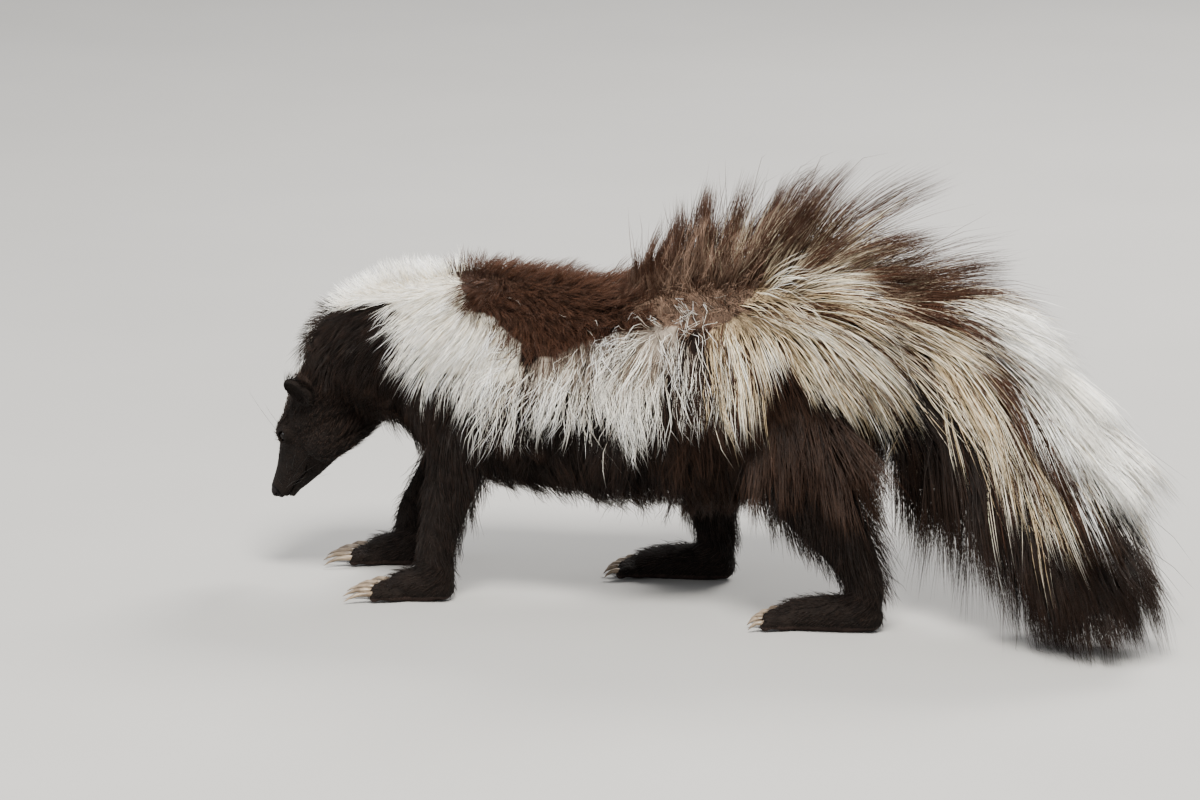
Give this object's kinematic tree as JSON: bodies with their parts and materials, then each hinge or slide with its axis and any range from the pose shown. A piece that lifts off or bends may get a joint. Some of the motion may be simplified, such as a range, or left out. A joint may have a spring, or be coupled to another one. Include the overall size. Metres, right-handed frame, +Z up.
{
  "type": "striped skunk",
  "caption": "Life-size striped skunk as a still display model, walking with its head lowered and its plumed tail hanging behind.",
  "frame": {"origin": "on the ground below the middle of the model's box", "axes": "+Z up; the skunk faces -X with its tail towards +X; its left side is towards -Y"},
  "size_m": [0.5598, 0.2216, 0.2548],
  "materials": {
    "short_coat": "short dark fur with a soft sheen",
    "long_coat": "long dark fur with cream and white stripes",
    "tail_coat": "long cream, white and dark hair",
    "paw_skin": "dark furred paw with bare pads",
    "claw": "horn, satin",
    "nose_skin": "moist black skin",
    "eye": "wet gloss, near black"
  },
  "bodies": {
    "root": {"head": "short_coat", "neck": "short_coat", "torso": "long_coat", "tail": "tail_coat", "leg_fore_left": "short_coat", "leg_fore_right": "short_coat", "leg_hind_left": "short_coat", "leg_hind_right": "short_coat", "paw_fore_left": "paw_skin", "paw_fore_right": "paw_skin", "paw_hind_left": "paw_skin", "paw_hind_right": "paw_skin", "ear_left": "short_coat", "ear_right": "short_coat", "eye_left": "eye", "eye_right": "eye", "nose": "nose_skin"}
  },
  "joints": []
}
